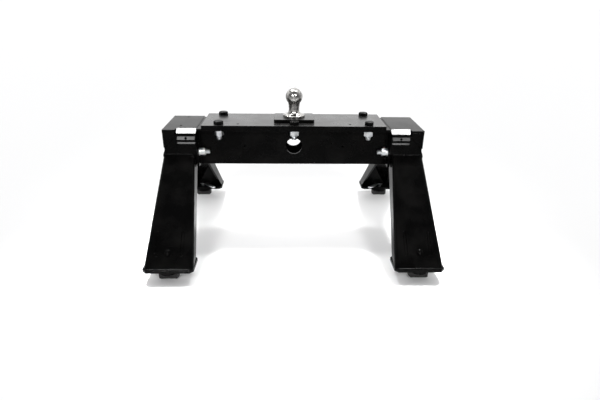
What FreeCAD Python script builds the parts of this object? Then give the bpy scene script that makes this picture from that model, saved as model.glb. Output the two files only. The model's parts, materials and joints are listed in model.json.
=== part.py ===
# Four-legged hitch base with a gooseneck ball, for truck beds with four anchor sockets.
# Units are millimetres. X runs across the truck, Y runs along it (rear is +Y), Z is up.
# The origin is under the middle of the hitch, level with the bottoms of the anchors.
import FreeCAD, Part
import math
import os

V = FreeCAD.Vector
X_AXIS, Y_AXIS, Z_AXIS = V(1, 0, 0), V(0, 1, 0), V(0, 0, 1)

# Anchors: what reaches below the foot plates.
HEAD_T = 22.0            # height of the T head
COLLAR_T = 17.7          # height of the collar welded under a foot plate
BODY_GAP = 0.3           # gap between pieces that turn past each other
RUN_CLEARANCE = 0.06     # radial clearance of the anchor shaft in its bore
SHAFT_R = 15.0
NECK_STEP = 5.0          # the shaft is this much thinner where it carries the lever
NECK_PROUD = 6.0
COLLAR_R = 33.0
HEAD_LONG = 66.0
HEAD_WIDE = 34.0
ANCHOR_X = 403.5         # anchor axis, from the middle
ANCHOR_Y = 342.0
LEVER_T = 6.0
LEVER_WIDE = 14.0
LEVER_LONG = 82.0        # from the anchor axis to the lever's tip
LEVER_HUB_R = 16.0
LEVER_EYE_R = 2.5
LEVER_ANGLE = 45.0       # at rest, measured from the inward X direction towards the middle

# Foot plates.
FOOT_Z = HEAD_T + BODY_GAP + COLLAR_T
FOOT_T = 10.0
FOOT_X0 = 316.0
FOOT_X1 = 476.0
FOOT_Y0 = 297.0
FOOT_Y1 = 387.0
FOOT_CORNER = 12.0

# Side frames.
PLATE_T = 8.0            # all folded and welded side plates
DECK_TOP = 420.0
DECK_HALF_DEPTH = 100.0
DECK_X0 = 332.0
DECK_X1 = 444.0
DECK_FACET_BACK = 22.0   # the wide facet along the deck's front edge, how far back and how far down
DECK_FACET_DROP = 12.7
DECK_LIP = 20.5          # depth of the deck's front and rear lips
GROOVE = 2.5             # between the corner plate and the leg's slanting edge
SEAM = 1.5               # gap between the deck's lip and the leg's top edge
BOX_BOTTOM = 284.0       # lower edge of the box walls and of the crossbeam
WALL_X0 = 338.0          # outer face of the inner wall, where the beam's end plate seats
DECK_DRAIN_R = 4.0
DRAINS = ((-389.0, 80.0), (-391.0, -44.0))   # in the left deck only

# Legs.
KNEE_Z = 335.0           # where the leg turns from upright to sloping
LEG_TOP_X1 = 400.0       # outer edge of the leg's upright part, at its top
KNEE_X0 = 341.5
KNEE_X1 = 447.0
LEG_END_X0 = 316.0
LEG_END_X1 = 473.0
LEG_END_INSET = 5.0      # leg's lower edge, back from the foot plate's outer edge
FLANGE_TOP = 62.0        # flange depth at the knee
FLANGE_END = 40.0        # flange depth at the foot
FOLD_R = 12.0            # outer radius of the flange folds
FLANGE_START = 8.0       # flanges start this far below the knee
LEG_FLARE_X = 440.0      # the outer edge runs from the top's corner to this point, then to the knee
LEG_FLARE_RISE = 16.0    # that point's height above the knee
LEG_FLARE_DROP = 45.5    # its depth under the leg's top edge
KNEE_OVERLAP = 20.0      # how far the upright and the knee's face each run past the knee, up to a mitre
RIB_INSET = 4.0          # two ribs cross the leg's upright part, this far in from its edges
RIBS = ((1.5, 13.5, 4.5), (21.0, 28.0, 2.25))   # top and bottom under the leg's top edge, and how proud
RIB_FLAT = 2.0           # height of the flat under each rib's sloping face
RIB_HOLE_R = 3.5
RIB_HOLE_DROP = 7.0      # hole's middle, under the leg's top edge

# Gussets inside each leg, with tabs through slots in the leg.
GUSSET_T = 8.0
GUSSET_X = ANCHOR_X - 7.5    # middle of the pair
GUSSET_OFFSET = 39.0     # each side of that middle
GUSSET_TOE = 2.0         # gap between the gusset's toe and the leg's inside
GUSSET_HEAD = 6.0        # the gusset runs this far up the slope past its tab
GUSSET_START = 12.0      # and starts touching the leg this far up from its lower edge
TAB_LOW = 45.0           # tab start and end, measured up the slope from the leg's lower edge
TAB_HIGH = 123.0
SLOT_CLEARANCE = 0.5

# Brace: a leaning triangular plate that closes each foot pocket, seen from the middle of the hitch.
BRACE_T = 6.0
BRACE_X0 = GUSSET_X - 66.0
BRACE_X1 = GUSSET_X + 22.0
BRACE_TIP_X = GUSSET_X - 42.0
BRACE_LOW_Y = ANCHOR_Y - 24.0
BRACE_LIFT = 10.0        # the lever swings under the brace's lower edge
BRACE_TIP_UP = 186.5     # where the tip meets the leg, up the slope from the leg's lower edge

# Crossbeam.
END_T = 8.0
END_HALF_DEPTH = DECK_HALF_DEPTH - PLATE_T - 6.0
WEB_T = 8.0
FLANGE_T = 8.0
FLANGE_HALF_DEPTH = 88.0
ACCESS_R = 28.5
ACCESS_Z = 350.0
WEB_MARK_X = 173.0
WEB_MARK_Z = 349.0
WEB_MARK_R = 3.5

# Top plate and ball.
TOP_HALF_X = 315.0
TOP_HALF_Y = 91.0
TOP_T = 12.0
TOP_DRAIN_X = 193.0
TOP_DRAIN_Y = 64.0
TOP_DRAIN_R = 4.5
BASE_HALF_X = 70.0
BASE_HALF_Y = 51.0
BASE_T = 12.0
BALL_R = 58.74 / 2
BALL_FLANGE_R = 38.5
BALL_FLANGE_T = 10.0
NECK_R = 18.5
NECK_TOP_R = 21.5        # the neck widens to this where it runs into the ball
BALL_RISE = 70.0         # ball centre above the flange's underside
SHANK_R = 31.75 / 2
SHANK_CLEARANCE = 0.5
FLANGE_SLOPE = 9.0       # width of the flange's sloping rim
WAIST_RISE = 24.0        # narrowest place above the base plate
BALL_WASHER_R = 26.0
BALL_WASHER_T = 7.0
BALL_NUT_AF = 47.6
BALL_NUT_T = 30.0
SHANK_PROUD = 5.0
WASHER_SPLIT = 3.0       # gap in the ball's lock washer

# Fasteners.
TOP_BOLT_X = 258.0
TOP_BOLT_Y = 69.0
TOP_BOLT_R = 9.5
TOP_HEAD_AF = 28.6
TOP_HEAD_T = 12.0
TOP_NUT_T = 16.0
SIDE_BOLT_Y = DECK_HALF_DEPTH - 2 * PLATE_T - 16.0
SIDE_BOLT_Z = 335.0
SIDE_BOLT_R = 8.0
SIDE_HEAD_AF = 24.0
SIDE_HEAD_T = 10.0
SIDE_NUT_T = 16.0
WASHER_T = 3.0
LOCK_WASHER_T = 4.0
BOLT_CLEARANCE = 0.5     # radial, bolt in its hole
THREAD_PROUD = 13.0      # bolt end beyond the nut

WEB_Y = SIDE_BOLT_Y - 20.0   # mid plane of each web, clear of the side bolts' washers

FOOT_TOP = FOOT_Z + FOOT_T
BRACE_LOW_Z = FOOT_TOP + BRACE_LIFT
DECK_UNDER = DECK_TOP - PLATE_T
LEG_END_Y = FOOT_Y1 - LEG_END_INSET
TOP_UNDER = DECK_TOP
TOP_UPPER = TOP_UNDER + TOP_T
BASE_UPPER = TOP_UPPER + BASE_T
BEAM_HALF_X = WALL_X0 - END_T
SLOPE = math.atan2(KNEE_Z - FOOT_TOP, LEG_END_Y - DECK_HALF_DEPTH)
SLOPE_LONG = math.hypot(KNEE_Z - FOOT_TOP, LEG_END_Y - DECK_HALF_DEPTH)


def box(x0, x1, y0, y1, z0, z1):
    return Part.makeBox(x1 - x0, y1 - y0, z1 - z0, V(x0, y0, z0))


def cyl(r, length, at, axis=Z_AXIS):
    return Part.makeCylinder(r, length, at, axis)


def prism(points, along):
    return Part.Face(Part.makePolygon(points + [points[0]])).extrude(along)


def fuse(shapes):
    solid = shapes[0]
    for other in shapes[1:]:
        solid = solid.fuse(other)
    return solid.removeSplitter()


def mirror_x(shape):
    return shape.mirror(V(0, 0, 0), X_AXIS)


def mirror_y(shape):
    return shape.mirror(V(0, 0, 0), Y_AXIS)


def round_edges(shape, r, keep):
    edges = [e for e in shape.Edges if keep(e)]
    return shape.makeFillet(r, edges)


def bevel_edges(shape, size, keep):
    edges = [e for e in shape.Edges if keep(e)]
    return shape.makeChamfer(size, edges)


def is_upright(edge):
    a, b = edge.Vertexes[0].Point, edge.Vertexes[-1].Point
    return abs(a.x - b.x) < 0.01 and abs(a.y - b.y) < 0.01 and abs(a.z - b.z) > 0.1


def hexagon(across_flats, height, at, axis=Z_AXIS, flat_to=None):
    # A hexagonal prism from `at` along `axis`, one pair of flats facing flat_to, with bevelled corners.
    side = flat_to or Y_AXIS
    other = axis.cross(side)
    corner = across_flats / math.sqrt(3)
    points = []
    for k in range(6):
        a = math.radians(60 * k)
        points.append(at + other * (corner * math.cos(a)) + side * (corner * math.sin(a)))
    body = prism(points, axis * height)
    cone = Part.makeCone(across_flats * 0.47 + 1.8 * height, across_flats * 0.47, height, at, axis)
    return body.common(cone)


def drain(x, y, r, top):
    return cyl(r, 40, V(x, y, top - 30))


# Side frames. Every function builds the right-hand, front piece: X positive, Y negative.

def facet_inside():
    # The inside of the deck's facet is its outside moved in by the plate's thickness.
    tilt = math.atan2(DECK_FACET_DROP, DECK_FACET_BACK)
    inner_y = DECK_HALF_DEPTH - DECK_FACET_BACK - PLATE_T * math.tan(tilt / 2)
    inner_z = DECK_UNDER - (DECK_HALF_DEPTH - PLATE_T - inner_y) * math.tan(tilt)
    return inner_y, inner_z


def deck():
    # The strip beside the beam has a facet along its front; the outer part is square.
    y, top, low = DECK_HALF_DEPTH, DECK_TOP, DECK_TOP - DECK_LIP
    back, drop, t = DECK_FACET_BACK, DECK_FACET_DROP, PLATE_T
    inner_y, inner_z = facet_inside()
    strip = prism([V(DECK_X0, a, b) for a, b in (
        (-y + back, top), (y, top), (y, low), (y - t, low), (y - t, top - t), (-inner_y, top - t),
        (-y + t, inner_z), (-y + t, low), (-y, low), (-y, top - drop))], X_AXIS * (LEG_TOP_X1 - DECK_X0))
    outer = box(LEG_TOP_X1, DECK_X1, -y, y, top - t, top)
    return strip.fuse(outer).removeSplitter()


def fit_under(shape, x1):
    # Takes away what would stand in the deck's facet, up to a given X.
    y, (inner_y, inner_z) = DECK_HALF_DEPTH - PLATE_T, facet_inside()
    corner = prism([V(DECK_X0, -y - 1, inner_z), V(DECK_X0, -y, inner_z), V(DECK_X0, -inner_y, DECK_UNDER),
                    V(DECK_X0, -inner_y, DECK_TOP), V(DECK_X0, -y - 1, DECK_TOP)], X_AXIS * (x1 - DECK_X0))
    return shape.cut(corner)


def wall(x0):
    # Box wall between the fascias; its lower corners are cut away for the leg flanges.
    y = DECK_HALF_DEPTH - PLATE_T
    corner_z = KNEE_Z - FLANGE_START * 2
    corner_y = y - (corner_z - BOX_BOTTOM)
    points = [V(x0, -y, DECK_UNDER), V(x0, y, DECK_UNDER), V(x0, y, corner_z), V(x0, corner_y, BOX_BOTTOM),
              V(x0, -corner_y, BOX_BOTTOM), V(x0, -y, corner_z)]
    return prism(points, X_AXIS * PLATE_T)


def inner_wall():
    solid = fit_under(wall(WALL_X0), LEG_TOP_X1)
    for y in (-SIDE_BOLT_Y, SIDE_BOLT_Y):
        at = V(WALL_X0 - 1, y, SIDE_BOLT_Z)
        solid = solid.cut(cyl(SIDE_BOLT_R + BOLT_CLEARANCE, PLATE_T + 2, at, X_AXIS))
    return solid


def outer_wall():
    # Above the leg's flare this wall runs out to the fascia's face and closes the corner.
    corner = box(DECK_X1 - PLATE_T, DECK_X1, -DECK_HALF_DEPTH, DECK_HALF_DEPTH, flare_z(DECK_X1 - PLATE_T),
                 DECK_UNDER)
    return wall(DECK_X1 - PLATE_T).fuse(corner).removeSplitter()


def leg_top_z():
    return DECK_TOP - DECK_LIP - SEAM


def flare_z(x):
    # Height of the leg's outer edge above the knee, at a given X.
    z = leg_top_z()
    return z - (x - LEG_TOP_X1) * LEG_FLARE_DROP / (LEG_FLARE_X - LEG_TOP_X1)


def fascia():
    # The corner plate in line with the leg's face, a narrow groove away from the leg's slanting edge.
    y, x0, x1 = -DECK_HALF_DEPTH, LEG_TOP_X1 + GROOVE, DECK_X1 - PLATE_T
    return prism([V(x0, y, DECK_UNDER), V(x1, y, DECK_UNDER), V(x1, y, flare_z(x1 - GROOVE)),
                  V(x0, y, leg_top_z())], Y_AXIS * PLATE_T)


def inner_fascia():
    # Behind the leg's upright part the box is closed by a second plate.
    y = DECK_HALF_DEPTH - PLATE_T
    plate = box(WALL_X0 + PLATE_T, DECK_X1 - PLATE_T, -y, -y + PLATE_T, KNEE_Z + 4, DECK_UNDER)
    return fit_under(plate, LEG_TOP_X1)


def slope_point(along, depth):
    # A point on the sloping leg, measured down from the knee and in from its outer face.
    s, c = math.sin(SLOPE), math.cos(SLOPE)
    return V(0, -DECK_HALF_DEPTH - along * c + depth * s, KNEE_Z - along * s - depth * c)


def channel_section(along):
    # The folded leg's cross-section: the face, two rounded folds and two flanges.
    f = along / SLOPE_LONG
    x0 = KNEE_X0 + (LEG_END_X0 - KNEE_X0) * f
    x1 = KNEE_X1 + (LEG_END_X1 - KNEE_X1) * f
    depth = FLANGE_TOP + (FLANGE_END - FLANGE_TOP) * f
    ro, ri, t, c = FOLD_R, FOLD_R - PLATE_T, PLATE_T, math.sqrt(0.5)

    def p(x, d):
        q = slope_point(along, d)
        return V(x, q.y, q.z)

    line = Part.makeLine
    return Part.Wire([
        line(p(x0, depth), p(x0, ro)),
        Part.Arc(p(x0, ro), p(x0 + ro * (1 - c), ro * (1 - c)), p(x0 + ro, 0)).toShape(),
        line(p(x0 + ro, 0), p(x1 - ro, 0)),
        Part.Arc(p(x1 - ro, 0), p(x1 - ro * (1 - c), ro * (1 - c)), p(x1, ro)).toShape(),
        line(p(x1, ro), p(x1, depth)),
        line(p(x1, depth), p(x1 - t, depth)),
        line(p(x1 - t, depth), p(x1 - t, ro)),
        Part.Arc(p(x1 - t, ro), p(x1 - t - ri * (1 - c), t + ri * (1 - c)), p(x1 - ro, t)).toShape(),
        line(p(x1 - ro, t), p(x0 + ro, t)),
        Part.Arc(p(x0 + ro, t), p(x0 + t + ri * (1 - c), t + ri * (1 - c)), p(x0 + t, ro)).toShape(),
        line(p(x0 + t, ro), p(x0 + t, depth)),
        line(p(x0 + t, depth), p(x0, depth)),
    ])


def rib(top, bottom, proud):
    # A bar with a sloping upper face, across the upright part of the leg.
    y, z = -DECK_HALF_DEPTH, leg_top_z()
    x0, x1 = DECK_X0 + RIB_INSET, LEG_TOP_X1 - RIB_INSET
    return prism([V(x0, y + 1, z - top), V(x0, y, z - top), V(x0, y - proud, z - bottom + RIB_FLAT),
                  V(x0, y - proud, z - bottom), V(x0, y + 1, z - bottom)], X_AXIS * (x1 - x0))


def leg():
    y, far = DECK_HALF_DEPTH, 600.0
    channel = Part.makeLoft([channel_section(-30), channel_section(SLOPE_LONG + 60)], True, True)
    channel = channel.cut(box(0, far, -far, 0, FOOT_TOP - far, FOOT_TOP))
    # Above the knee only the face goes on; the flanges start a little below it.
    below = slope_point(FLANGE_START, -20)
    inside = slope_point(FLANGE_START, 200)
    keep = prism([below, inside, V(0, inside.y - far, inside.z - far), V(0, below.y - far, below.z - far)],
                 X_AXIS * far)
    lower = channel.common(keep)
    knee_face = prism([V(KNEE_X0, v.y, v.z) for v in (
        slope_point(-30, 0), slope_point(-30, PLATE_T), slope_point(FLANGE_START, PLATE_T),
        slope_point(FLANGE_START, 0))], X_AXIS * (KNEE_X1 - KNEE_X0))
    reach = 2 * KNEE_OVERLAP
    half = SLOPE / 2 + math.pi / 4
    mitre = V(0, math.sin(half), -math.cos(half))
    knee = V(0, -y, KNEE_Z)
    side = V(0, -mitre.z, mitre.y)
    wedge = prism([knee - mitre * reach, knee + mitre * reach, knee + mitre * reach - side * reach * 2,
                   knee - mitre * reach - side * reach * 2], X_AXIS * far)
    knee_face = knee_face.common(wedge)
    top_z, low_z = leg_top_z(), KNEE_Z - KNEE_OVERLAP
    upright = prism([V(DECK_X0, -y, top_z), V(LEG_TOP_X1, -y, top_z),
                     V(LEG_FLARE_X, -y, flare_z(LEG_FLARE_X)), V(KNEE_X1, -y, KNEE_Z),
                     V(KNEE_X1, -y, low_z), V(DECK_X0, -y, low_z)], Y_AXIS * PLATE_T)
    upright = upright.cut(wedge)
    solid = fuse([lower, knee_face, upright] + [rib(*sizes) for sizes in RIBS])
    for x in (GUSSET_X - GUSSET_OFFSET, GUSSET_X + GUSSET_OFFSET):
        solid = solid.cut(tab(x, SLOT_CLEARANCE, -5, PLATE_T + 5))
    hole_x = (DECK_X0 + LEG_TOP_X1) / 2
    return solid.cut(cyl(RIB_HOLE_R, PLATE_T, V(hole_x, -y - PLATE_T, top_z - RIB_HOLE_DROP), Y_AXIS))


def tab(x, grow, depth0, depth1):
    low, high = SLOPE_LONG - TAB_LOW + grow, SLOPE_LONG - TAB_HIGH - grow
    points = [slope_point(low, depth0), slope_point(high, depth0), slope_point(high, depth1),
              slope_point(low, depth1)]
    half = GUSSET_T / 2 + grow
    return prism([V(x - half, v.y, v.z) for v in points], X_AXIS * (2 * half))


def brace_tip():
    return slope_point(SLOPE_LONG - BRACE_TIP_UP, PLATE_T)


def brace_point(z, depth):
    # A point on the leaning brace at a given height, measured back from its visible face.
    tip = brace_tip()
    lean = (BRACE_LOW_Y + tip.y) / (tip.z - BRACE_LOW_Z)
    return V(0, -BRACE_LOW_Y + (z - BRACE_LOW_Z) * lean - depth * math.hypot(1, lean), z)


def gusset_pair():
    pair = []
    for x in (GUSSET_X - GUSSET_OFFSET, GUSSET_X + GUSSET_OFFSET):
        toe = slope_point(SLOPE_LONG, PLATE_T)
        run = (FOOT_TOP - toe.z) / math.tan(SLOPE)
        low = V(0, toe.y + run + GUSSET_TOE, FOOT_TOP)
        start = slope_point(SLOPE_LONG - GUSSET_START, PLATE_T)
        high = slope_point(SLOPE_LONG - TAB_HIGH - GUSSET_HEAD, PLATE_T)
        points = [low, start, high, brace_point((high.z + BRACE_LOW_Z) / 2, BRACE_T),
                  brace_point(FOOT_TOP, BRACE_T)]
        plate = prism([V(x - GUSSET_T / 2, v.y, v.z) for v in points], X_AXIS * GUSSET_T)
        pair.append(plate.fuse(tab(x, 0, 1, PLATE_T + 1)).removeSplitter())
    return Part.makeCompound(pair)


def brace():
    low, tip = brace_point(BRACE_LOW_Z, 0), brace_tip()
    along = tip - low
    back = V(0, -along.z, along.y).normalize() * BRACE_T
    plate = prism([V(BRACE_X0, low.y, low.z), V(BRACE_X1, low.y, low.z), V(BRACE_TIP_X, tip.y, tip.z)],
                  back if back.y < 0 else back * -1)
    # The tip is trimmed to lie against the inside of the leg's face.
    over = [slope_point(along, depth) for along, depth in (
        (0, PLATE_T), (SLOPE_LONG, PLATE_T), (SLOPE_LONG, -FLANGE_TOP), (0, -FLANGE_TOP))]
    return plate.cut(prism(over, X_AXIS * FOOT_X1))


def foot_plate():
    plate = box(FOOT_X0, FOOT_X1, -FOOT_Y1, -FOOT_Y0, FOOT_Z, FOOT_TOP)
    plate = bevel_edges(plate, FOOT_CORNER, is_upright)
    return plate.cut(cyl(SHAFT_R + RUN_CLEARANCE, FOOT_T + 2, V(ANCHOR_X, -ANCHOR_Y, FOOT_Z - 1)))


def foot_collar():
    at = V(ANCHOR_X, -ANCHOR_Y, FOOT_Z - COLLAR_T)
    ring = bevel_edges(cyl(COLLAR_R, COLLAR_T, at), 1.5, lambda e: abs(e.BoundBox.ZMax - at.z) < 0.01)
    return ring.cut(cyl(SHAFT_R + RUN_CLEARANCE, COLLAR_T + 2, at - Z_AXIS))


def anchor():
    head = box(ANCHOR_X - HEAD_LONG / 2, ANCHOR_X + HEAD_LONG / 2,
               -ANCHOR_Y - HEAD_WIDE / 2, -ANCHOR_Y + HEAD_WIDE / 2, 0, HEAD_T)
    head = head.common(cyl(HEAD_LONG / 2, HEAD_T, V(ANCHOR_X, -ANCHOR_Y, 0)))
    head = bevel_edges(head, 5.0, lambda e: e.BoundBox.ZMax < 0.01)
    top = FOOT_TOP + BODY_GAP + LEVER_T + NECK_PROUD
    shaft = cyl(SHAFT_R, FOOT_TOP + BODY_GAP - HEAD_T, V(ANCHOR_X, -ANCHOR_Y, HEAD_T))
    neck = cyl(SHAFT_R - NECK_STEP, top - FOOT_TOP - BODY_GAP, V(ANCHOR_X, -ANCHOR_Y, FOOT_TOP + BODY_GAP))
    return fuse([head, shaft, neck])


def anchor_lever():
    z = FOOT_TOP + BODY_GAP
    at = V(ANCHOR_X, -ANCHOR_Y, z)
    hub = cyl(LEVER_HUB_R, LEVER_T, at)
    bar = box(0, LEVER_LONG, -LEVER_WIDE / 2, LEVER_WIDE / 2, 0, LEVER_T)
    bar = round_edges(bar, LEVER_WIDE / 2 - 0.2, lambda e: is_upright(e) and e.BoundBox.XMin > 1)
    eye = cyl(LEVER_EYE_R, LEVER_T + 2, V(LEVER_LONG - LEVER_WIDE / 2, 0, -1))
    bar = bar.cut(eye)
    bar.rotate(V(0, 0, 0), Z_AXIS, 180 - LEVER_ANGLE)
    bar = bar.translated(at)
    return hub.fuse(bar).removeSplitter().cut(cyl(SHAFT_R - NECK_STEP, LEVER_T + 2, at - Z_AXIS))


# Crossbeam.

def beam_web():
    # Front and rear webs are alike, and their large holes are in line.
    y = -WEB_Y - WEB_T / 2
    web = box(-BEAM_HALF_X, BEAM_HALF_X, y, y + WEB_T, BOX_BOTTOM, DECK_UNDER)
    for x in (-WEB_MARK_X, WEB_MARK_X):
        web = web.cut(cyl(WEB_MARK_R, WEB_T + 2, V(x, y - 1, WEB_MARK_Z), Y_AXIS))
    return web.cut(cyl(ACCESS_R, WEB_T + 2, V(0, y - 1, ACCESS_Z), Y_AXIS))


def beam_bottom():
    y = WEB_Y - WEB_T / 2
    return box(-BEAM_HALF_X, BEAM_HALF_X, -y, y, BOX_BOTTOM, BOX_BOTTOM + WEB_T)


def top_bolt_points():
    return [(x, y) for y in (-TOP_BOLT_Y, TOP_BOLT_Y) for x in (-TOP_BOLT_X, 0.0, TOP_BOLT_X)]


def drill_top(plate, z0, z1):
    for x, y in top_bolt_points():
        plate = plate.cut(cyl(TOP_BOLT_R + BOLT_CLEARANCE, z1 - z0 + 2, V(x, y, z0 - 1)))
    return plate.cut(cyl(SHANK_R + SHANK_CLEARANCE, z1 - z0 + 2, V(0, 0, z0 - 1)))


def beam_flange():
    plate = box(-BEAM_HALF_X, BEAM_HALF_X, -FLANGE_HALF_DEPTH, FLANGE_HALF_DEPTH, DECK_UNDER, TOP_UNDER)
    return drill_top(plate, DECK_UNDER, TOP_UNDER)


def beam_end():
    plate = box(BEAM_HALF_X, WALL_X0, -END_HALF_DEPTH, END_HALF_DEPTH, BOX_BOTTOM, DECK_UNDER)
    plate = fit_under(plate, WALL_X0)
    for y in (-SIDE_BOLT_Y, SIDE_BOLT_Y):
        at = V(BEAM_HALF_X - 1, y, SIDE_BOLT_Z)
        plate = plate.cut(cyl(SIDE_BOLT_R + BOLT_CLEARANCE, END_T + 2, at, X_AXIS))
    return plate


def top_plate():
    plate = box(-TOP_HALF_X, TOP_HALF_X, -TOP_HALF_Y, TOP_HALF_Y, TOP_UNDER, TOP_UPPER)
    plate = round_edges(plate, 4.0, is_upright)
    plate = bevel_edges(plate, 1.0, lambda e: e.BoundBox.ZMin > TOP_UPPER - 0.01)
    for x in (-TOP_DRAIN_X, TOP_DRAIN_X):
        plate = plate.cut(cyl(TOP_DRAIN_R, 6, V(x, -TOP_DRAIN_Y, TOP_UPPER - 5)))
    return drill_top(plate, TOP_UNDER, TOP_UPPER)


# Ball and what holds it.

def ball_base():
    plate = box(-BASE_HALF_X, BASE_HALF_X, -BASE_HALF_Y, BASE_HALF_Y, TOP_UPPER, BASE_UPPER)
    plate = round_edges(plate, 6.0, is_upright)
    plate = bevel_edges(plate, 1.5, lambda e: e.BoundBox.ZMin > BASE_UPPER - 0.01)
    return plate.cut(cyl(SHANK_R + SHANK_CLEARANCE, BASE_T + 2, V(0, 0, TOP_UPPER - 1)))


def hitch_ball():
    z0 = BASE_UPPER
    centre = z0 + BALL_RISE
    shank_end = DECK_UNDER - BALL_WASHER_T - BALL_NUT_T - SHANK_PROUD
    waist_z, rim_z = z0 + WAIST_RISE, z0 + BALL_FLANGE_T
    flat = 8.0
    top_z = centre + math.sqrt(BALL_R ** 2 - flat ** 2)
    join_z = centre - math.sqrt(BALL_R ** 2 - NECK_TOP_R ** 2)
    foot_r = BALL_FLANGE_R - FLANGE_SLOPE
    line = Part.makeLine

    def p(r, z):
        return V(r, 0, z)

    def arc(a, b, c):
        return Part.Arc(a, b, c).toShape()

    edges = [
        line(p(0, shank_end), p(SHANK_R - 2, shank_end)),
        line(p(SHANK_R - 2, shank_end), p(SHANK_R, shank_end + 2)),
        line(p(SHANK_R, shank_end + 2), p(SHANK_R, z0)),
        line(p(SHANK_R, z0), p(BALL_FLANGE_R - 1, z0)),
        line(p(BALL_FLANGE_R - 1, z0), p(BALL_FLANGE_R, z0 + 1)),
        line(p(BALL_FLANGE_R, z0 + 1), p(BALL_FLANGE_R, rim_z - 3)),
        line(p(BALL_FLANGE_R, rim_z - 3), p(foot_r, rim_z)),
        arc(p(foot_r, rim_z), p(NECK_R + 2.6, rim_z + 5.5), p(NECK_R, waist_z)),
        arc(p(NECK_R, waist_z), p(NECK_R + 0.7, (waist_z + join_z) / 2 + 2), p(NECK_TOP_R, join_z)),
        arc(p(NECK_TOP_R, join_z), p(BALL_R, centre), p(flat, top_z)),
        line(p(flat, top_z), p(0, top_z)),
        line(p(0, top_z), p(0, shank_end)),
    ]
    return Part.Face(Part.Wire(edges)).revolve(V(0, 0, 0), Z_AXIS, 360)


def ball_washer():
    z, half = DECK_UNDER - BALL_WASHER_T, WASHER_SPLIT / 2
    ring = cyl(BALL_WASHER_R, BALL_WASHER_T, V(0, 0, z))
    ring = ring.cut(cyl(SHANK_R + SHANK_CLEARANCE, BALL_WASHER_T + 2, V(0, 0, z - 1)))
    return ring.cut(box(SHANK_R - 5, BALL_WASHER_R + 5, -half, half, z - 1, DECK_UNDER + 1))


def ball_nut():
    z = DECK_UNDER - BALL_WASHER_T
    nut = hexagon(BALL_NUT_AF, BALL_NUT_T, V(0, 0, z), Z_AXIS * -1)
    return nut.cut(cyl(SHANK_R, BALL_NUT_T + 2, V(0, 0, z - BALL_NUT_T - 1)))


# Fasteners, one node for each kind.

def top_bolts():
    solids = []
    low = DECK_UNDER - WASHER_T - TOP_NUT_T - THREAD_PROUD
    for x, y in top_bolt_points():
        head = hexagon(TOP_HEAD_AF, TOP_HEAD_T, V(x, y, TOP_UPPER))
        shank = bevel_edges(cyl(TOP_BOLT_R, TOP_UPPER - low, V(x, y, low)), 1.5,
                            lambda e: e.BoundBox.ZMax < low + 0.01)
        solids.append(head.fuse(shank))
    return Part.makeCompound(solids)


def top_washers():
    z = DECK_UNDER - WASHER_T
    return Part.makeCompound([
        cyl(TOP_HEAD_AF * 0.58, WASHER_T, V(x, y, z)).cut(cyl(TOP_BOLT_R + BOLT_CLEARANCE, 9, V(x, y, z - 1)))
        for x, y in top_bolt_points()])


def top_nuts():
    z = DECK_UNDER - WASHER_T
    return Part.makeCompound([
        hexagon(TOP_HEAD_AF, TOP_NUT_T, V(x, y, z), Z_AXIS * -1).cut(cyl(TOP_BOLT_R, 40, V(x, y, z - 30)))
        for x, y in top_bolt_points()])


def side_bolt_places():
    # Each place is the Y of the axis and the side it is on: 1 for right, -1 for left.
    return [(y, side) for side in (-1, 1) for y in (-SIDE_BOLT_Y, SIDE_BOLT_Y)]


def side_ring(r, thickness, x):
    rings = []
    for y, side in side_bolt_places():
        ring = cyl(r, thickness, V(side * x, y, SIDE_BOLT_Z), X_AXIS * -side)
        start = V(side * (x + 1), y, SIDE_BOLT_Z)
        rings.append(ring.cut(cyl(SIDE_BOLT_R + BOLT_CLEARANCE, thickness + 2, start, X_AXIS * -side)))
    return rings


def side_bolts():
    solids = []
    head_x = WALL_X0 + PLATE_T + WASHER_T
    end_x = BEAM_HALF_X - WASHER_T - LOCK_WASHER_T - SIDE_NUT_T - THREAD_PROUD
    for y, side in side_bolt_places():
        head = hexagon(SIDE_HEAD_AF, SIDE_HEAD_T, V(side * head_x, y, SIDE_BOLT_Z), X_AXIS * side)
        shank = cyl(SIDE_BOLT_R, head_x - end_x, V(side * head_x, y, SIDE_BOLT_Z), X_AXIS * -side)
        shank = bevel_edges(shank, 1.5, lambda e: abs(e.BoundBox.Center.x - side * end_x) < 0.01)
        solids.append(head.fuse(shank))
    return Part.makeCompound(solids)


def side_washers():
    r = SIDE_HEAD_AF * 0.6
    return Part.makeCompound(side_ring(r, WASHER_T, BEAM_HALF_X)
                             + side_ring(r, WASHER_T, WALL_X0 + PLATE_T + WASHER_T))


def side_lock_washers():
    return Part.makeCompound(side_ring(SIDE_HEAD_AF * 0.51, LOCK_WASHER_T, BEAM_HALF_X - WASHER_T))


def side_nuts():
    x = BEAM_HALF_X - WASHER_T - LOCK_WASHER_T
    return Part.makeCompound([
        hexagon(SIDE_HEAD_AF, SIDE_NUT_T, V(side * x, y, SIDE_BOLT_Z), X_AXIS * -side).cut(
            cyl(SIDE_BOLT_R, SIDE_NUT_T + 2, V(side * (x + 1), y, SIDE_BOLT_Z), X_AXIS * -side))
        for y, side in side_bolt_places()])


def left_deck():
    solid = mirror_x(deck())
    for x, y in DRAINS:
        solid = solid.cut(drain(x, y, DECK_DRAIN_R, DECK_TOP))
    return solid


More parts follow.
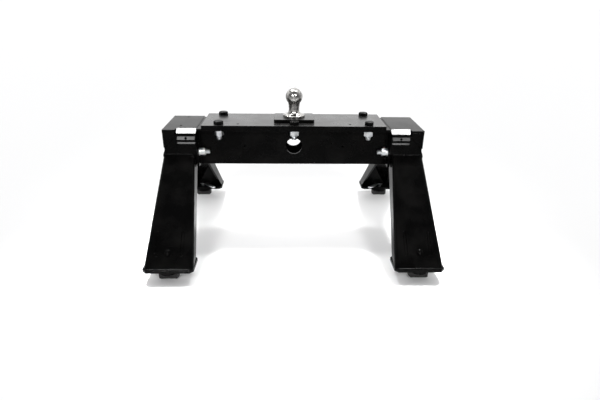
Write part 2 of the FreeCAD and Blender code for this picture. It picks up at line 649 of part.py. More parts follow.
def build():
    nodes = {
        "side_deck_right": deck(),
        "side_deck_left": left_deck(),
        "beam_front_web": beam_web(),
        "beam_rear_web": mirror_y(beam_web()),
        "beam_flange": beam_flange(),
        "beam_bottom": beam_bottom(),
        "beam_end_right": beam_end(),
        "beam_end_left": mirror_x(beam_end()),
        "top_plate": top_plate(),
        "ball_base": ball_base(),
        "hitch_ball": hitch_ball(),
        "ball_washer": ball_washer(),
        "ball_nut": ball_nut(),
        "top_bolts": top_bolts(),
        "top_washers": top_washers(),
        "top_nuts": top_nuts(),
        "side_bolts": side_bolts(),
        "side_washers": side_washers(),
        "side_lock_washers": side_lock_washers(),
        "side_nuts": side_nuts(),
    }
    walls = {"side_inner_wall": inner_wall(), "side_outer_wall": outer_wall()}
    for name, solid in walls.items():
        nodes[name + "_right"] = solid
        nodes[name + "_left"] = mirror_x(solid)
    corners = {"fascia": fascia(), "inner_fascia": inner_fascia(), "leg": leg(), "gussets": gusset_pair(),
               "brace": brace(), "foot_plate": foot_plate(),
               "foot_collar": foot_collar(), "anchor": anchor(), "anchor_lever": anchor_lever()}
    for name, solid in corners.items():
        nodes[name + "_front_right"] = solid
        nodes[name + "_front_left"] = mirror_x(solid)
        nodes[name + "_rear_right"] = mirror_y(solid)
        nodes[name + "_rear_left"] = mirror_y(mirror_x(solid))
    return nodes


os.makedirs("parts", exist_ok=True)
for node, shape in build().items():
    shape.exportStep("parts/" + node + ".step")
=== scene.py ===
# %% [markdown]
# # A four-legged hitch base with a gooseneck ball
# The hitch stands in a truck bed on four feet. A crossbeam ties two side frames together, a thick
# plate is bolted on the beam, and a steel ball for the trailer stands in its middle. The measured
# model is loaded first. Everything made here is placed from it, in metres.

# %% Load the measured model
import bpy
import json
import math
from mathutils import Matrix, Vector


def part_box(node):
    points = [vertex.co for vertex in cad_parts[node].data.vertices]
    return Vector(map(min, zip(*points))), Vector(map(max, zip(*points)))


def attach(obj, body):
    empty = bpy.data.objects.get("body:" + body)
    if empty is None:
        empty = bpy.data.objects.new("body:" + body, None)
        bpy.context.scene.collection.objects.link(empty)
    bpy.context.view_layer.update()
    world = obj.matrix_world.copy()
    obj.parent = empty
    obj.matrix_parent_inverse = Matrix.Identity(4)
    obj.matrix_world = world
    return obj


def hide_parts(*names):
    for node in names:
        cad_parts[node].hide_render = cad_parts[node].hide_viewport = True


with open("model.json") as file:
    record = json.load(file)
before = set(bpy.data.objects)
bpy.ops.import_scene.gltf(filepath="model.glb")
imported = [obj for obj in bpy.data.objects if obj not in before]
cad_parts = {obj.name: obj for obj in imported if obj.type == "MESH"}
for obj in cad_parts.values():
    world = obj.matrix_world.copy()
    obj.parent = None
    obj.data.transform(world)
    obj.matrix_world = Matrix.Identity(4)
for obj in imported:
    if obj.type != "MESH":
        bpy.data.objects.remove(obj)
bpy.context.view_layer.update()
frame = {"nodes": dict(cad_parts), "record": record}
nodes = frame["nodes"]
MM = 0.001

# %% [markdown]
# ## Working with one thing at a time
# The hitch has four corners and two sides, and almost everything is made once for each of them. An
# operator acts on whatever is selected, so each step first selects the one object it shapes.

# %% Corners, sides and selection
CORNERS = ("front_right", "front_left", "rear_right", "rear_left")
SIDES = ("right", "left")


def only(obj):
    # Selects one object and makes it the active one.
    bpy.ops.object.select_all(action="DESELECT")
    bpy.context.view_layer.objects.active = obj
    obj.select_set(True)
    return obj


def body_of_node(node):
    return next(name for name, members in frame["record"]["behaviour"]["bodies"].items() if node in members)


print("the front right leg rides on:", body_of_node("leg_front_right"))

# %% [markdown]
# ## Camera
# The view is from the front and a little above, with a fairly wide lens close to the hitch. The
# feet at the back therefore look much smaller than the feet at the front. The camera is turned
# a little to one side and rolled by less than a degree, as a camera held by hand is.

# %% Camera
CAMERA_AT = Vector((-0.030, -1.583, 0.824))
CAMERA_LENS = 27.04
CAMERA_DOWN = math.radians(24.0)
CAMERA_TURN = math.radians(2.03)
CAMERA_ROLL = math.radians(0.88)
SENSOR_WIDTH = 36.0      # millimetres
FARTHEST = 100.0

bpy.ops.object.select_all(action="DESELECT")
bpy.ops.object.camera_add(location=CAMERA_AT)
camera = bpy.context.active_object
camera.name = "camera"
aim = (Matrix.Rotation(-CAMERA_TURN, 3, "Z") @ Matrix.Rotation(math.pi / 2 - CAMERA_DOWN, 3, "X")
       @ Matrix.Rotation(CAMERA_ROLL, 3, "Z"))
camera.rotation_euler = aim.to_euler()
camera.data.lens = CAMERA_LENS
camera.data.sensor_width = SENSOR_WIDTH
camera.data.clip_end = FARTHEST
bpy.context.scene.camera = camera
print("camera at", [round(v, 3) for v in camera.location])

# %% [markdown]
# ## Floor
# The floor is a plain pale matt sheet. It is much wider than the view, so that no edge of it shows.

# %% Floor
FLOOR_SIZE = 400.0
PALE = (0.9, 0.9, 0.9, 1)

bpy.ops.mesh.primitive_plane_add(size=FLOOR_SIZE, location=(0, 0, 0))
floor = bpy.context.active_object
floor.name = "floor"
floor_paint = bpy.data.materials.new("pale_floor")
floor_paint.use_nodes = True
floor_shader = floor_paint.node_tree.nodes["Principled BSDF"]
floor_shader.inputs["Base Color"].default_value = PALE
floor_shader.inputs["Roughness"].default_value = 0.9
floor.data.materials.append(floor_paint)
print("floor width:", FLOOR_SIZE)

# %% [markdown]
# ## Soft boxes
# A gloss black object shows the room more than itself, so a light is placed by what is to be mirrored
# where. Two soft boxes hang overhead: each is mirrored in the wide facet along one deck's front
# edge. Two weaker ones stand high in front and are mirrored in the ribs under the facets.

# %% Soft boxes
FACET_TILT, RIB_TILT = math.radians(30), math.radians(66)
STRIP_X = 0.366          # about the middle of the facet and of the ribs
OVERHEAD_REACH, FRONT_REACH = 2.4, 2.6
OVERHEAD_POWER, FRONT_POWER = 4.5, 1.9
OVERHEAD_SPREAD, FRONT_SPREAD = 24, 30


def soft_box(name, at, look_at, width, depth, power, spread):
    # The grid on a soft box keeps its light within the spread, so the floor around is left alone.
    bpy.ops.object.light_add(type="AREA", location=at)
    light = bpy.context.active_object
    light.name = name
    light.data.shape = "RECTANGLE"
    light.data.size = width
    light.data.size_y = depth
    light.data.energy = power
    light.data.spread = math.radians(spread)
    light.rotation_euler = (Vector(look_at) - Vector(at)).to_track_quat("-Z", "Y").to_euler()
    return light


def mirrored_towards(spot, tilt, distance):
    # Where a light must stand to be mirrored into the camera by a face at `spot`, tilted up by `tilt`.
    to_camera = (CAMERA_AT - spot).normalized()
    normal = Vector((0, -math.sin(tilt), math.cos(tilt)))
    return spot + (2 * normal.dot(to_camera) * normal - to_camera) * distance


for side, sign in zip(SIDES, (1, -1)):
    facet = Vector((STRIP_X * sign, -0.09, 0.413))
    rib = Vector((STRIP_X * sign, -0.102, 0.39))
    soft_box("overhead_box_" + side, mirrored_towards(facet, FACET_TILT, OVERHEAD_REACH), facet,
             0.50, 0.36, OVERHEAD_POWER, OVERHEAD_SPREAD)
    soft_box("front_box_" + side, mirrored_towards(rib, RIB_TILT, FRONT_REACH), rib,
             0.65, 0.4, FRONT_POWER, FRONT_SPREAD)

# %% [markdown]
# ## The room
# The room is bright behind the hitch and dim on the camera's side. Faces that look up and back
# mirror the bright side, and upright faces stay black.

# %% Room
DIM_UP_TO, BRIGHT_FROM = 0.36, 0.60     # 0 is the camera's side of the room, 1 is the far side
ROOM_STRENGTH = 1.85

world = bpy.data.worlds.new("studio")
bpy.context.scene.world = world
world.use_nodes = True
tree = world.node_tree
where = tree.nodes.new("ShaderNodeTexCoord")
axes = tree.nodes.new("ShaderNodeSeparateXYZ")
ramp = tree.nodes.new("ShaderNodeValToRGB")
shift = tree.nodes.new("ShaderNodeMapRange")
shift.inputs["From Min"].default_value = -1.0
tree.links.new(where.outputs["Generated"], axes.inputs[0])
tree.links.new(axes.outputs["Y"], shift.inputs["Value"])
tree.links.new(shift.outputs["Result"], ramp.inputs["Fac"])
tree.links.new(ramp.outputs["Color"], tree.nodes["Background"].inputs["Color"])
ramp.color_ramp.elements[0].position = DIM_UP_TO
ramp.color_ramp.elements[0].color = (0.12, 0.12, 0.125, 1)
ramp.color_ramp.elements[1].position = BRIGHT_FROM
ramp.color_ramp.elements[1].color = (1.0, 1.0, 1.0, 1)
tree.nodes["Background"].inputs["Strength"].default_value = ROOM_STRENGTH
bpy.context.scene.view_settings.view_transform = "Standard"
print("room:", world.name)

# %% [markdown]
# ## Black powder coat
# Powder coat is baked plastic. It flows a little in the oven, so its gloss is broken by a fine
# orange-peel. Here a fine noise moves the surface, a wider noise varies the gloss,
# and a faint dust tone shows on some patches. The low index of refraction keeps faces that are seen
# straight on black, and still lets faces seen at a low angle shine.

# %% Powder coat
PATCH_SCALE = 14.0


def socket_link(tree, a, out, b, into):
    tree.links.new(a.outputs[out], b.inputs[into])


def coat_material(name, colour, dust, rough_low, rough_high, peel_scale, peel_depth, ior=1.45):
    mat = bpy.data.materials.new(name)
    mat.use_nodes = True
    tree = mat.node_tree
    shader = tree.nodes["Principled BSDF"]
    shader.inputs["IOR"].default_value = ior
    coords = tree.nodes.new("ShaderNodeTexCoord")

    patches = tree.nodes.new("ShaderNodeTexNoise")
    patches.inputs["Scale"].default_value = PATCH_SCALE
    patches.inputs["Detail"].default_value = 6.0
    gloss = tree.nodes.new("ShaderNodeMapRange")
    gloss.inputs["From Min"].default_value = 0.35
    gloss.inputs["From Max"].default_value = 0.65
    gloss.inputs["To Min"].default_value = rough_low
    gloss.inputs["To Max"].default_value = rough_high
    tint = tree.nodes.new("ShaderNodeValToRGB")
    tint.color_ramp.elements[0].position = 0.42
    tint.color_ramp.elements[0].color = (*colour, 1)
    tint.color_ramp.elements[1].position = 0.75
    tint.color_ramp.elements[1].color = (*dust, 1)

    peel = tree.nodes.new("ShaderNodeTexNoise")
    peel.inputs["Scale"].default_value = peel_scale
    peel.inputs["Detail"].default_value = 4.0
    peel.inputs["Roughness"].default_value = 0.62
    bump = tree.nodes.new("ShaderNodeBump")
    bump.inputs["Strength"].default_value = 0.6
    bump.inputs["Distance"].default_value = peel_depth

    for noise in (patches, peel):
        socket_link(tree, coords, "Object", noise, "Vector")
    socket_link(tree, patches, "Fac", gloss, "Value")
    socket_link(tree, gloss, "Result", shader, "Roughness")
    socket_link(tree, patches, "Fac", tint, "Fac")
    socket_link(tree, tint, "Color", shader, "Base Color")
    socket_link(tree, peel, "Fac", bump, "Height")
    socket_link(tree, bump, "Normal", shader, "Normal")
    return mat


DEEP_BLACK, FAINT_DUST = (0.0008, 0.0008, 0.0008), (0.0025, 0.0024, 0.0023)
SOFT_BLACK, DUSTY = (0.006, 0.006, 0.006), (0.014, 0.0135, 0.013)
frame_coat = coat_material("frame_powder_coat", DEEP_BLACK, FAINT_DUST, 0.15, 0.25, 230, 0.00018, 1.115)
# Painted highlight: a paler, more reflective copy of the black coat, for the light that the bolted plates'
# upward faces catch.
plate_top_painted_sheen_coat = coat_material("plate_top_painted_sheen", SOFT_BLACK, DUSTY, 0.24, 0.34, 240, 0.00018, 1.29)
bolt_black = coat_material("black_bolt_finish", DEEP_BLACK, FAINT_DUST, 0.35, 0.5, 500, 0.00003, 1.12)
anchor_paint = coat_material("anchor_paint", SOFT_BLACK, DUSTY, 0.35, 0.55, 300, 0.0001)
print("coats:", frame_coat.name, plate_top_painted_sheen_coat.name, bolt_black.name, anchor_paint.name)

# %% [markdown]
# ## Bare and plated steel
# The ball is turned on a lathe, so fine rings run round it. The nuts and washers are zinc plated:
# pale, a little cloudy and never quite even.

# %% Metals
CLOUD_SCALE = 90.0


def metal_material(name, dark, light, rough_low, rough_high, grain_scale, grain_depth, stretch=(1, 1, 1)):
    mat = bpy.data.materials.new(name)
    mat.use_nodes = True
    tree = mat.node_tree
    shader = tree.nodes["Principled BSDF"]
    shader.inputs["Metallic"].default_value = 1.0
    coords = tree.nodes.new("ShaderNodeTexCoord")
    mapping = tree.nodes.new("ShaderNodeMapping")
    mapping.inputs["Scale"].default_value = stretch
    cloud = tree.nodes.new("ShaderNodeTexNoise")
    cloud.inputs["Scale"].default_value = CLOUD_SCALE
    cloud.inputs["Detail"].default_value = 5.0
    tone = tree.nodes.new("ShaderNodeValToRGB")
    tone.color_ramp.elements[0].position = 0.3
    tone.color_ramp.elements[0].color = (*dark, 1)
    tone.color_ramp.elements[1].position = 0.7
    tone.color_ramp.elements[1].color = (*light, 1)
    gloss = tree.nodes.new("ShaderNodeMapRange")
    gloss.inputs["To Min"].default_value = rough_low
    gloss.inputs["To Max"].default_value = rough_high
    grain = tree.nodes.new("ShaderNodeTexNoise")
    grain.inputs["Scale"].default_value = grain_scale
    grain.inputs["Detail"].default_value = 3.0
    bump = tree.nodes.new("ShaderNodeBump")
    bump.inputs["Strength"].default_value = 0.5
    bump.inputs["Distance"].default_value = grain_depth
    socket_link(tree, coords, "Object", mapping, "Vector")
    socket_link(tree, coords, "Object", cloud, "Vector")
    socket_link(tree, mapping, "Vector", grain, "Vector")
    socket_link(tree, cloud, "Fac", tone, "Fac")
    socket_link(tree, tone, "Color", shader, "Base Color")
    socket_link(tree, cloud, "Fac", gloss, "Value")
    socket_link(tree, gloss, "Result", shader, "Roughness")
    socket_link(tree, grain, "Fac", bump, "Height")
    socket_link(tree, bump, "Normal", shader, "Normal")
    return mat


ball_steel = metal_material("turned_ball_steel", (0.05, 0.049, 0.047),
                            (0.44, 0.43, 0.415), 0.18, 0.34, 40, 0.00008, (1, 1, 40))
zinc_plate = metal_material("zinc_plate", (0.42, 0.43, 0.44), (0.68, 0.69, 0.70), 0.22, 0.42, 500, 0.00003)
print("metals:", ball_steel.name, zinc_plate.name)

# %% [markdown]
# ## A finish for every measured piece
# The record says which slot each measured piece belongs to, so the finish follows from the slot. The
# bolted plates are the exception: their upward faces get a paler, more reflective copy of the coat, a
# painted highlight for the light those faces catch.

# %% Give every measured piece its finish
FINISHES = {"frame_paint": frame_coat, "ball_steel": ball_steel, "zinc": zinc_plate,
            "black_bolt": bolt_black, "anchor_steel": anchor_paint}
BOLTED_PLATES = ("top_plate", "ball_base")
slot_of = {entry["node"]: entry["material_slot"] for entry in frame["record"]["subparts"]}
for name, obj in nodes.items():
    # The bolted plates take the painted-highlight coat.
    finish = plate_top_painted_sheen_coat if name in BOLTED_PLATES else FINISHES[slot_of[name]]
    for slot in obj.material_slots:
        slot.material = finish
    if not obj.material_slots:
        obj.data.materials.append(finish)
print("finishes given to", len(nodes), "nodes")

# %% [markdown]
# ## Rounded plate edges
# Cut steel is dressed before it is coated, and the coat itself rounds what is left. Every plate
# therefore has a narrow bright line along its edges. The measured plates have knife edges, so each
# one is copied, its loose triangles are merged back into flat faces, and a small bevel is applied.
# The frame's plates have tiny edges where cuts meet. A bevel that made room for them would shrink to
# almost nothing, so on those plates it may run past them.

# %% Rounded plates
MERGE_WITHIN = 0.00001
CRISP = math.radians(20)         # edges steeper than this stay crisp
BEVEL_FROM = math.radians(35)    # edges steeper than this are rounded


def merged_copy(node, finish):
    # A copy of a measured node as clean faces, that stands for the node from here on.
    obj = bpy.data.objects.new("rounded_" + node, nodes[node].data.copy())
    bpy.context.collection.objects.link(obj)
    only(obj)
    bpy.ops.object.mode_set(mode="EDIT")
    bpy.ops.mesh.select_all(action="SELECT")
    bpy.ops.mesh.remove_doubles(threshold=MERGE_WITHIN)
    bpy.ops.mesh.dissolve_limited(angle_limit=math.radians(0.4))
    bpy.ops.object.mode_set(mode="OBJECT")
    obj.data.materials.clear()
    obj.data.materials.append(finish)
    return obj


def round_edges(obj, width, clamp=True):
    only(obj)
    bevel = obj.modifiers.new("edge", "BEVEL")
    bevel.width = width
    bevel.segments = 2
    bevel.limit_method = "ANGLE"
    bevel.angle_limit = BEVEL_FROM
    bevel.use_clamp_overlap = clamp
    bpy.ops.object.modifier_apply(modifier=bevel.name)
    # Crisp edges keep the flat faces beside them flat.
    bpy.ops.object.mode_set(mode="EDIT")
    bpy.ops.mesh.select_mode(type="EDGE")
    bpy.ops.mesh.select_all(action="DESELECT")
    bpy.ops.mesh.edges_select_sharp(sharpness=CRISP)
    bpy.ops.mesh.mark_sharp()
    bpy.ops.mesh.select_mode(type="VERT")
    bpy.ops.object.mode_set(mode="OBJECT")
    bpy.ops.object.shade_smooth_by_angle(angle=CRISP)
    # Large faces then set the direction of their corners, so a flat face next to a fold stays flat.
    weigh = obj.modifiers.new("flat faces lead", "WEIGHTED_NORMAL")
    weigh.weight = 80
    weigh.keep_sharp = True
    bpy.ops.object.modifier_apply(modifier=weigh.name)


def hand_over(obj, node):
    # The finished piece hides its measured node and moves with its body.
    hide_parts(node)
    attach(obj, body_of_node(node))
    return obj


def rounded_copy(node, width, finish, clamp=True):
    obj = merged_copy(node, finish)
    round_edges(obj, width, clamp)
    return hand_over(obj, node)


CORNER_PLATES = ("leg", "foot_plate", "foot_collar", "fascia", "inner_fascia", "gussets", "brace")
SIDE_PLATES = ("side_deck", "side_inner_wall", "side_outer_wall", "beam_end")
FRAME_PLATES = [kind + "_" + corner for corner in CORNERS for kind in CORNER_PLATES]
FRAME_PLATES += [kind + "_" + side for side in SIDES for kind in SIDE_PLATES]
FRAME_PLATES += ["beam_front_web", "beam_rear_web", "beam_flange", "beam_bottom"]
rounded = {name: rounded_copy(name, 0.8 * MM, frame_coat, clamp=False) for name in FRAME_PLATES}
for name in BOLTED_PLATES:
    # Painted highlight: the upward faces take the paler, more reflective coat for the light they catch; the
    # other faces keep the frame's coat.
    rounded[name] = rounded_copy(name, 0.6 * MM, plate_top_painted_sheen_coat)
    rounded[name].data.materials.append(frame_coat)
    for face in rounded[name].data.polygons:
        face.material_index = 0 if face.normal.z > 0.9 else 1
for corner in CORNERS:
    rounded["anchor_" + corner] = rounded_copy("anchor_" + corner, 1.5 * MM, anchor_paint)
    rounded["anchor_lever_" + corner] = rounded_copy("anchor_lever_" + corner, 0.7 * MM, zinc_plate)
print("rounded plates:", len(rounded), "faces:", sum(len(o.data.polygons) for o in rounded.values()))

# %% [markdown]
# ## Turned parts
# Anything made on a lathe is built the same way: a circle on the axis is drawn out step by step and
# made wider or narrower at each step. A ring comes back to its first circle and is closed there.

# %% A lathe
ORIGIN = (0, 0, 0)


def lathe(name, steps, at, axis=(0, 0, 1), sides=64, ring=False):
    # A step is a radius and a height along the axis, in metres. A ring's steps go round its section.
    bpy.ops.object.select_all(action="DESELECT")
    first_r, first_h = steps[0]
    bpy.ops.mesh.primitive_circle_add(vertices=sides, radius=first_r, location=(0, 0, first_h),
                                      fill_type="NOTHING" if ring else "NGON")
    obj = bpy.context.active_object
    obj.name = name
    bpy.ops.object.transform_apply(location=True)
    bpy.ops.object.mode_set(mode="EDIT")
    bpy.ops.mesh.select_all(action="SELECT")
    last_r, last_h = first_r, first_h
    for r, h in steps[1:] + ([steps[0]] if ring else []):
        if ring:
            bpy.ops.mesh.extrude_edges_move(TRANSFORM_OT_translate={"value": (0, 0, h - last_h)})
        else:
            bpy.ops.mesh.extrude_region_move(TRANSFORM_OT_translate={"value": (0, 0, h - last_h)})
        bpy.ops.transform.resize(value=(r / last_r, r / last_r, 1), center_override=(0, 0, h))
        last_r, last_h = r, h
    bpy.ops.mesh.select_all(action="SELECT")
    bpy.ops.mesh.remove_doubles(threshold=0.000002)
    bpy.ops.mesh.normals_make_consistent(inside=False)
    bpy.ops.object.mode_set(mode="OBJECT")
    obj.rotation_euler = Vector(axis).to_track_quat("Z", "Y").to_euler()
    obj.location = at
    only(obj)
    bpy.ops.object.transform_apply(location=True, rotation=True)
    return obj


def copy_to(obj, name, turn):
    # A copy with a mesh of its own, moved in the mesh by a matrix.
    bpy.ops.object.select_all(action="DESELECT")
    twin = obj.copy()
    twin.data = obj.data.copy()
    twin.name = name
    bpy.context.collection.objects.link(twin)
    twin.matrix_world = turn
    only(twin)
    bpy.ops.object.transform_apply(location=True, rotation=True)
    return twin


def finish_with(obj, material, smooth=30):
    only(obj)
    bpy.ops.object.shade_smooth_by_angle(angle=math.radians(smooth))
    obj.data.materials.clear()
    obj.data.materials.append(material)
    return obj


print("lathe ready:", lathe.__name__)

# %% [markdown]
# ## The ball
# A hitch ball is forged and then turned: a ball with a small flat on top, a waisted neck, a flange
# that sits on the base plate and a threaded shank that goes down through the beam.

# %% Ball
ball_low, ball_high = (Vector(c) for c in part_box("hitch_ball"))
base_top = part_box("ball_base")[1][2]
BALL_R = 29.37 * MM
FLAT_R = 8.0 * MM
NECK_R, NECK_TOP_R, SHANK_R = 18.5 * MM, 21.5 * MM, 15.875 * MM
THREAD_PITCH, THREAD_DEPTH = 3.2 * MM, 1.4 * MM
ball_z = ball_high.z - math.sqrt(BALL_R ** 2 - FLAT_R ** 2)
print("ball centre height:", round(ball_z, 4))


def thread_steps(radius, start, end, pitch, depth):
    # A thread as close rings: root, crest, root and so on. It ends at the full radius.
    steps = [(radius - depth, start)]
    h = start + pitch / 2
    while h + pitch / 2 < end:
        steps += [(radius, h), (radius - depth, h + pitch / 2)]
        h += pitch
    return steps + [(radius, end)]


# The flange in millimetres: radius, then height above the base plate.
FLANGE_OUTLINE = ((37.5, 0), (38.5, 1), (38.5, 7), (37.6, 8), (29.5, 10), (25.6, 11.2), (22.4, 13.4),
                  (20.2, 16.6), (19.0, 20.2))
THREAD_END = base_top - 36 * MM
WAIST = base_top + 24 * MM       # the narrowest place of the neck
NECK_STEPS, BALL_STEPS = 6, 32

steps = thread_steps(SHANK_R, ball_low.z, THREAD_END, THREAD_PITCH, THREAD_DEPTH) + [(SHANK_R, base_top)]
steps += [(r * MM, base_top + h * MM) for r, h in FLANGE_OUTLINE] + [(NECK_R, WAIST)]
join = ball_z - math.sqrt(BALL_R ** 2 - NECK_TOP_R ** 2)
for k in range(1, NECK_STEPS):
    f = k / NECK_STEPS
    steps.append((NECK_R + (NECK_TOP_R - NECK_R) * f ** 2.2, WAIST + (join - WAIST) * f))
low_angle, high_angle = -math.acos(NECK_TOP_R / BALL_R), math.acos(FLAT_R / BALL_R)
for k in range(BALL_STEPS + 1):
    a = low_angle + (high_angle - low_angle) * k / BALL_STEPS
    steps.append((BALL_R * math.cos(a), ball_z + BALL_R * math.sin(a)))
ball = lathe("hitch_ball_turned", steps, ORIGIN, sides=96)
hand_over(finish_with(ball, ball_steel, 40), "hitch_ball")
print("ball rings:", len(steps))

# %% [markdown]
# ## Bolts, nuts and washers
# A hexagon head is pressed and its corners are turned off, so each flat ends in a curved edge. That
# is made here as it is in the shop: a hexagonal bar is met with a turned blank. Spring washers are
# one turn of square wire, cut open.

# %% Hexagons and washers
TURNED_OFF = math.radians(30)            # slope of the turned corners
COIL_STEPS, COIL_TURN = 44, math.radians(350)
WASHER_T, WASHER_EDGE = 3 * MM, 0.4 * MM


def hexagon(name, across_flats, height, bore=None):
    # A hexagon standing on the origin, with the corners of its top turned off.
    corner = across_flats / math.sqrt(3)
    outside, inside = corner * 1.02, across_flats * 0.46
    bpy.ops.object.select_all(action="DESELECT")
    bpy.ops.mesh.primitive_cylinder_add(vertices=6, radius=corner, depth=height,
                                        location=(0, 0, height / 2), rotation=(0, 0, math.radians(30)))
    obj = bpy.context.active_object
    obj.name = name
    bpy.ops.object.transform_apply(location=True, rotation=True)
    drop = (outside - inside) * math.tan(TURNED_OFF)
    blank_steps = [(outside, -height), (outside, height - drop), (inside, height + 0.00001)]
    tools = [("INTERSECT", lathe("blank", blank_steps, ORIGIN, sides=96))]
    if bore:
        drill = lathe("drill", [(bore, -height), (bore, height * 2)], ORIGIN, sides=48)
        tools.append(("DIFFERENCE", drill))
    for kind, tool in tools:
        only(obj)
        cut = obj.modifiers.new("cut", "BOOLEAN")
        cut.operation = kind
        cut.object = tool
        cut.solver = "EXACT"
        bpy.ops.object.modifier_apply(modifier=cut.name)
        bpy.data.objects.remove(tool)
    only(obj)
    bpy.ops.object.mode_set(mode="EDIT")
    bpy.ops.mesh.select_all(action="SELECT")
    bpy.ops.mesh.remove_doubles(threshold=MERGE_WITHIN)
    bpy.ops.mesh.dissolve_limited(angle_limit=math.radians(0.5))
    bpy.ops.object.mode_set(mode="OBJECT")
    return obj


def spring_washer(name, inner, outer, thickness):
    # Square wire spun through almost one full turn, so that a narrow gap stays between its ends.
    bpy.ops.object.select_all(action="DESELECT")
    wide, mid = outer - inner, (outer + inner) / 2
    bpy.ops.mesh.primitive_plane_add(size=1, location=(mid, 0, 0), rotation=(math.radians(90), 0, 0))
    obj = bpy.context.active_object
    obj.name = name
    obj.scale = (wide, thickness, 1)
    bpy.ops.object.transform_apply(location=True, rotation=True, scale=True)
    bpy.ops.object.mode_set(mode="EDIT")
    bpy.ops.mesh.select_all(action="SELECT")
    bpy.ops.mesh.spin(steps=COIL_STEPS, angle=COIL_TURN, center=ORIGIN, axis=(0, 0, 1))
    bpy.ops.mesh.select_all(action="SELECT")
    bpy.ops.mesh.normals_make_consistent(inside=False)
    bpy.ops.object.mode_set(mode="OBJECT")
    return obj


def flat_washer(name, bore, face, rim):
    # Stamped from sheet: each face ends a little inside the rim.
    section = [(bore, 0), (face, 0), (rim, WASHER_EDGE), (rim, WASHER_T - WASHER_EDGE), (face, WASHER_T),
               (bore, WASHER_T)]
    return lathe(name, section, ORIGIN, sides=48, ring=True)


top_nut_low, top_nut_high = (c[2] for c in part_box("top_nuts"))
top_head_low, top_head_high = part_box("top_plate")[1][2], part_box("top_bolts")[1][2]
thread_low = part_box("top_bolts")[0][2]
TOP_AF, TOP_R = 28.6 * MM, 9.5 * MM
SIDE_AF, SIDE_R = 24.0 * MM, 8.0 * MM
head = hexagon("head", TOP_AF, top_head_high - top_head_low)
nut = hexagon("nut", TOP_AF, top_nut_high - top_nut_low, TOP_R)
side_head = hexagon("side_head", SIDE_AF, 10 * MM)
side_nut = hexagon("side_nut", SIDE_AF, 16 * MM, SIDE_R)
spring = spring_washer("spring", SIDE_R + 0.5 * MM, SIDE_AF * 0.51, 3.8 * MM)
stud_top = top_nut_high + 3 * MM
stud_steps = thread_steps(TOP_R, thread_low, stud_top, 2.2 * MM, 1.0 * MM)
stud = lathe("stud", stud_steps, ORIGIN, sides=40)
top_washer = flat_washer("top_washer", TOP_R + 0.5 * MM, TOP_AF * 0.57, TOP_AF * 0.58)
print("hexagon faces:", len(head.data.polygons), "stud rings:", len(stud_steps))

# %% Top bolts, nuts and washers
BOLT_X, BOLT_Y = 258 * MM, 69 * MM
BOLT_TURNS = (8, -21, 14, 3, 26, -11)
places = [(x, y) for y in (-BOLT_Y, BOLT_Y) for x in (-BOLT_X, 0.0, BOLT_X)]
for number, ((x, y), turn) in enumerate(zip(places, BOLT_TURNS), 1):
    spin = Matrix.Rotation(math.radians(turn), 4, "Z")
    tag = "_" + str(number)
    bolt_head = copy_to(head, "top_bolt_head" + tag, Matrix.Translation((x, y, top_head_low)) @ spin)
    hand_over(finish_with(bolt_head, bolt_black), "top_bolts")
    thread = copy_to(stud, "top_bolt_thread" + tag, Matrix.Translation((x, y, 0)))
    hand_over(finish_with(thread, zinc_plate, 20), "top_bolts")
    down = Matrix.Rotation(math.pi, 4, "X")
    low_nut = copy_to(nut, "top_nut" + tag, Matrix.Translation((x, y, top_nut_high)) @ spin @ down)
    hand_over(finish_with(low_nut, zinc_plate), "top_nuts")
    disc = copy_to(top_washer, "top_washer" + tag, Matrix.Translation((x, y, top_nut_high)))
    hand_over(finish_with(disc, zinc_plate), "top_washers")
print("top bolts:", len(places), "nut heights:", round(top_nut_low, 4), round(top_nut_high, 4))

# %% Side bolts, nuts and washers
SIDE_Y, SIDE_Z = 68 * MM, 335 * MM
END_PLATE_X, SEAT_X = 330 * MM, 349 * MM     # inner face of the beam's end plate, seat of the head
SIDE_END_X, SIDE_THREAD_X = 294 * MM, 326 * MM

side_steps = thread_steps(SIDE_R, SIDE_END_X, SIDE_THREAD_X, 2.0 * MM, 0.9 * MM) + [(SIDE_R, SEAT_X)]
side_stud = lathe("side_stud", side_steps, ORIGIN, sides=40)
side_disc = flat_washer("side_disc", SIDE_R + 0.5 * MM, 14.0 * MM, 14.4 * MM)
side_places = [(sign, y) for sign in (1, -1) for y in (-SIDE_Y, SIDE_Y)]
for number, (sign, y) in enumerate(side_places, 1):
    tag = "_" + str(number)
    outward = Matrix.Translation((0, y, SIDE_Z)) @ Matrix.Rotation(math.radians(90 * sign), 4, "Y")
    inward = Matrix.Rotation(math.pi, 4, "X")

    def along(distance):
        return outward @ Matrix.Translation((0, 0, distance))

    parts = (
        (side_stud, "side_bolt_thread", along(0), "side_bolts"),
        (side_head, "side_bolt_head", along(SEAT_X), "side_bolts"),
        (side_nut, "side_nut", along(END_PLATE_X - 7 * MM) @ inward, "side_nuts"),
        (spring, "side_spring_washer", along(END_PLATE_X - 5 * MM), "side_lock_washers"),
        (side_disc, "side_washer", along(END_PLATE_X - 3 * MM), "side_washers"),
        (side_disc, "side_head_washer", along(END_PLATE_X + 16 * MM), "side_washers"),
    )
    for source, title, matrix, node in parts:
        hand_over(finish_with(copy_to(source, title + tag, matrix), zinc_plate, 20), node)
print("side bolts:", len(side_places))

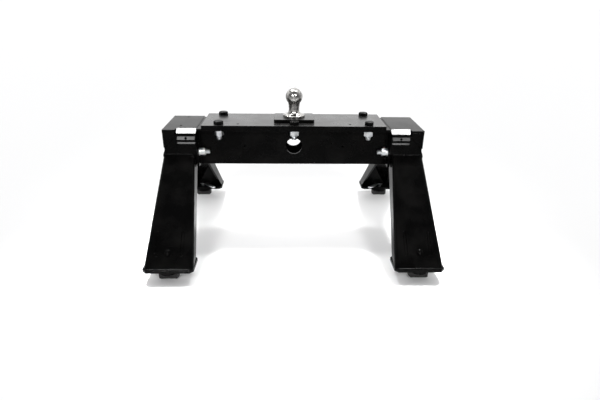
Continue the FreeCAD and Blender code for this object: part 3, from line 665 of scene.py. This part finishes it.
# %% Nut and washer under the ball
ball_spring = spring_washer("ball_spring", SHANK_R + 0.4 * MM, 25.6 * MM, 6.6 * MM)
washer_middle = sum(c[2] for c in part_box("ball_washer")) / 2
big_low, big_high = (c[2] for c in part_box("ball_nut"))
big_nut = hexagon("big_nut", 47.6 * MM, big_high - big_low, SHANK_R)
under = Matrix.Translation((0, 0, big_high)) @ Matrix.Rotation(math.pi, 4, "X")
hand_over(finish_with(copy_to(big_nut, "ball_nut_hexagon", under), zinc_plate), "ball_nut")
ball_ring = copy_to(ball_spring, "ball_spring_washer", Matrix.Translation((0, 0, washer_middle)))
hand_over(finish_with(ball_ring, zinc_plate), "ball_washer")
print("ball nut heights:", round(big_low, 4), round(big_high, 4))

# %% Clear away the patterns that the fasteners were copied from
for source in (head, nut, side_head, side_nut, spring, stud, top_washer, side_stud, side_disc, ball_spring,
               big_nut):
    bpy.data.objects.remove(source)

# %% [markdown]
# ## Weld beads
# The base is welded before it is coated. A bead laid by hand is a row of small overlapping ripples.
# Each bead here is turned about its own length from a rippled outline and half sunk in its seam.

# %% Beads
RIPPLE_LENGTH = 1.1      # times the bead's radius
LEG_SLOPE = math.radians(44.7)
# The plug weld in millimetres: radius, then height above the leg's face.
PLUG_OUTLINE = ((9, -1), (9, 0.3), (8.2, 0.9), (6.4, 1.3), (5.6, 1.0), (4.2, 1.7), (1.5, 2.1))


def bead(name, start, end, radius, body="frame"):
    start, end = Vector(start), Vector(end)
    long = (end - start).length
    ripples = max(4, round(long / (radius * RIPPLE_LENGTH)))
    steps = [(radius * 0.35, 0.0)]
    for k in range(ripples):
        steps.append((radius * (0.86 + 0.05 * math.sin(2.3 * k)), long * (k + 0.25) / ripples))
        steps.append((radius * (0.98 + 0.04 * math.sin(1.7 * k)), long * (k + 0.75) / ripples))
    steps.append((radius * 0.35, long))
    obj = lathe(name, steps, start, end - start, sides=14)
    finish_with(obj, frame_coat, 60)
    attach(obj, body)
    return obj


def millimetres(x, y, z):
    return (x * MM, y * MM, z * MM)


beads = []
for corner in CORNERS:
    sx = 1 if "right" in corner else -1
    sy = 1 if "rear" in corner else -1
    top, toe_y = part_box("foot_plate_" + corner)[1][2], sy * 381.5 * MM
    beads.append(bead("bead_toe_" + corner, (sx * 326 * MM, toe_y, top), (sx * 466 * MM, toe_y, top),
                      3.2 * MM))
    beads.append(bead("bead_knee_" + corner, millimetres(sx * 343, sy * 99.2, 334.4),
                      millimetres(sx * 446, sy * 99.2, 334.4), 3.4 * MM))
    slope = (0, sy * math.sin(LEG_SLOPE), math.cos(LEG_SLOPE))
    plug = lathe("plug_weld_" + corner, [(r * MM, h * MM) for r, h in PLUG_OUTLINE],
                 millimetres(sx * 400.5, sy * 344.8, 90.6), slope, sides=28)
    finish_with(plug, frame_coat, 50)
    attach(plug, "frame")
    beads.append(plug)
for side, sign in zip(SIDES, (1, -1)):
    for end, y in (("front", -52 * MM), ("rear", 52 * MM)):
        beads.append(bead("bead_web_" + end + "_" + side, (sign * END_PLATE_X, y, 290 * MM),
                          (sign * END_PLATE_X, y, 408 * MM), 3.0 * MM))
print("beads and plugs:", len(beads))
